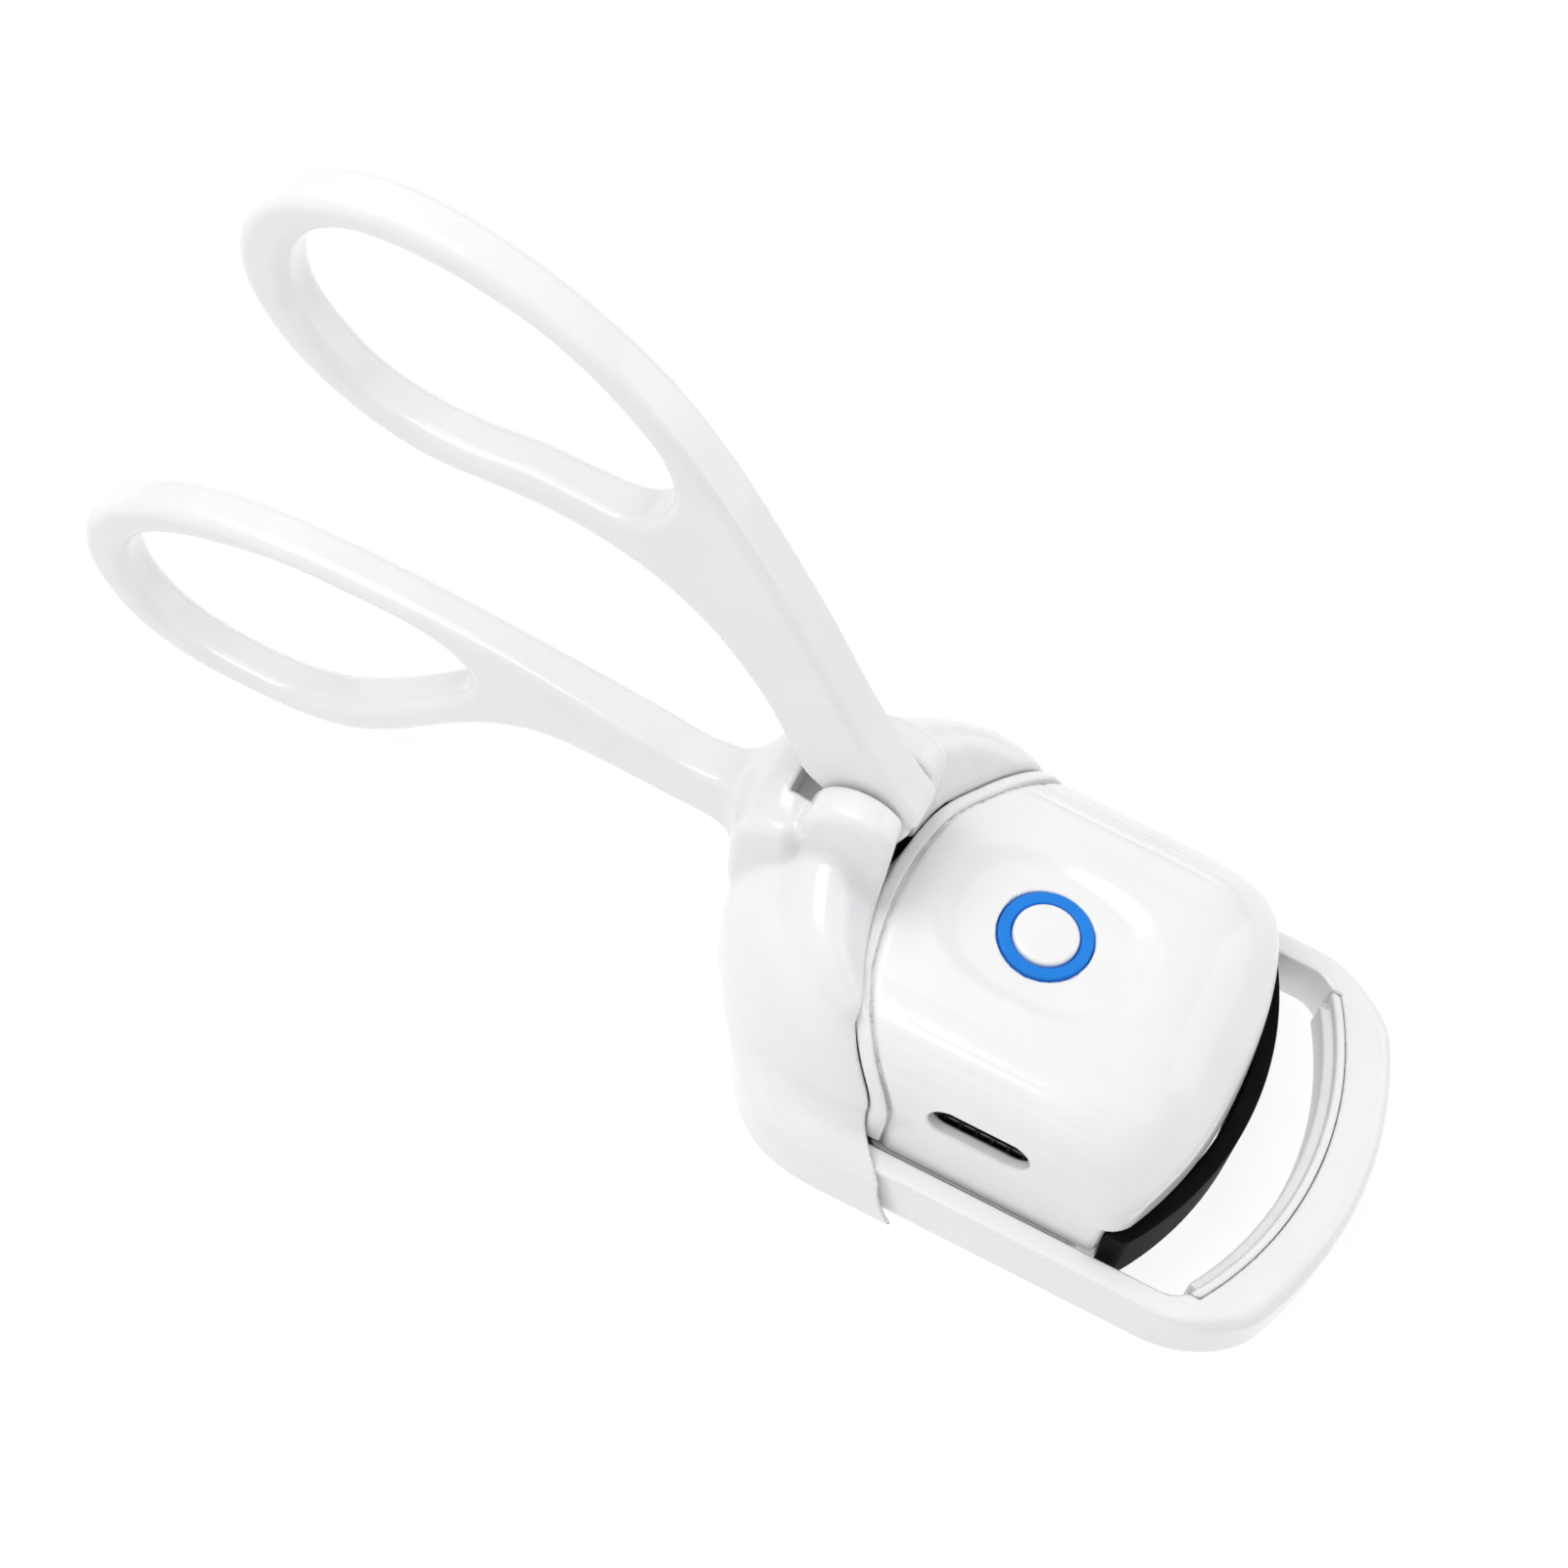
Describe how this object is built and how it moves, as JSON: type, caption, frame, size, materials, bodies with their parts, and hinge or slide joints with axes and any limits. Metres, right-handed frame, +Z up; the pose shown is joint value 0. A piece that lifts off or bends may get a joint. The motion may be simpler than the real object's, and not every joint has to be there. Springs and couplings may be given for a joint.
{
  "type": "heated eyelash curler",
  "caption": "Rechargeable heated eyelash curler: squeezing the finger loops slides a rounded heated head with a ring-lit button towards a padded clamp bar.",
  "frame": {"origin": "on the flat underside of the base plate, straight below the middle of the power button", "axes": "+X across the head towards the charging socket, +Y forwards to the clamp bar, +Z up out of the power button"},
  "size_m": [0.0406, 0.1247, 0.0767],
  "materials": {
    "gloss_white": "glossy moulded plastic",
    "satin_white": "satin moulded plastic",
    "black_resin": "finely textured heat-proof plastic",
    "steel": "bright steel",
    "silicone": "soft white silicone",
    "blue_light": "lit translucent light guide",
    "board_green": "solder-masked board",
    "dark_plastic": "dark engineering plastic",
    "cell_wrap": "printed-free cell wrap",
    "brass": "turned brass"
  },
  "bodies": {
    "frame": {"clamp_frame": "gloss_white", "rear_cradle": "gloss_white", "lower_handle": "gloss_white", "base_plate": "satin_white", "base_screw_1": "steel", "base_screw_2": "steel", "base_screw_3": "steel", "base_screw_4": "steel", "curling_pad": "silicone", "pivot_pin": "steel", "guide_rod_right": "steel", "guide_rod_left": "steel", "return_spring_right": "steel", "return_spring_left": "steel"},
    "upper_handle": {"upper_handle": "gloss_white", "pivot_bush": "brass", "drive_pin": "steel"},
    "head": {"head_cover": "gloss_white", "rear_band": "gloss_white", "head_base": "satin_white", "heater_element": "steel", "heating_strip": "black_resin", "drive_yoke": "dark_plastic", "battery_cell": "cell_wrap", "circuit_board": "board_green", "usb_socket": "steel", "usb_tongue": "dark_plastic", "tact_switch": "dark_plastic", "led_front": "satin_white", "led_rear": "satin_white", "light_ring": "blue_light"},
    "button": {"power_button": "gloss_white"}
  },
  "joints": [
    {"name": "handle_hinge", "type": "hinge", "parent": "frame", "child": "upper_handle", "pos_m": [0, -0.0172, 0.03], "axis": [1, 0, 0], "range_deg": [0, 24], "stiffness_Nm_per_rad": 0.25, "springref_deg": -20.05},
    {"name": "head_slide", "type": "slide", "parent": "frame", "child": "head", "axis": [0, 1, 0], "range_m": [0, 0.00525], "deforming": ["return_spring_right", "return_spring_left"]},
    {"name": "button_press", "type": "slide", "parent": "head", "child": "button", "axis": [0, 0, -1], "range_m": [0, 0.0004], "stiffness_N_per_m": 1500, "springref_m": -0.0003}
  ],
  "couplings": [
    {"joint": "head_slide", "follows": "handle_hinge", "m_per_rad": 0.0124}
  ]
}
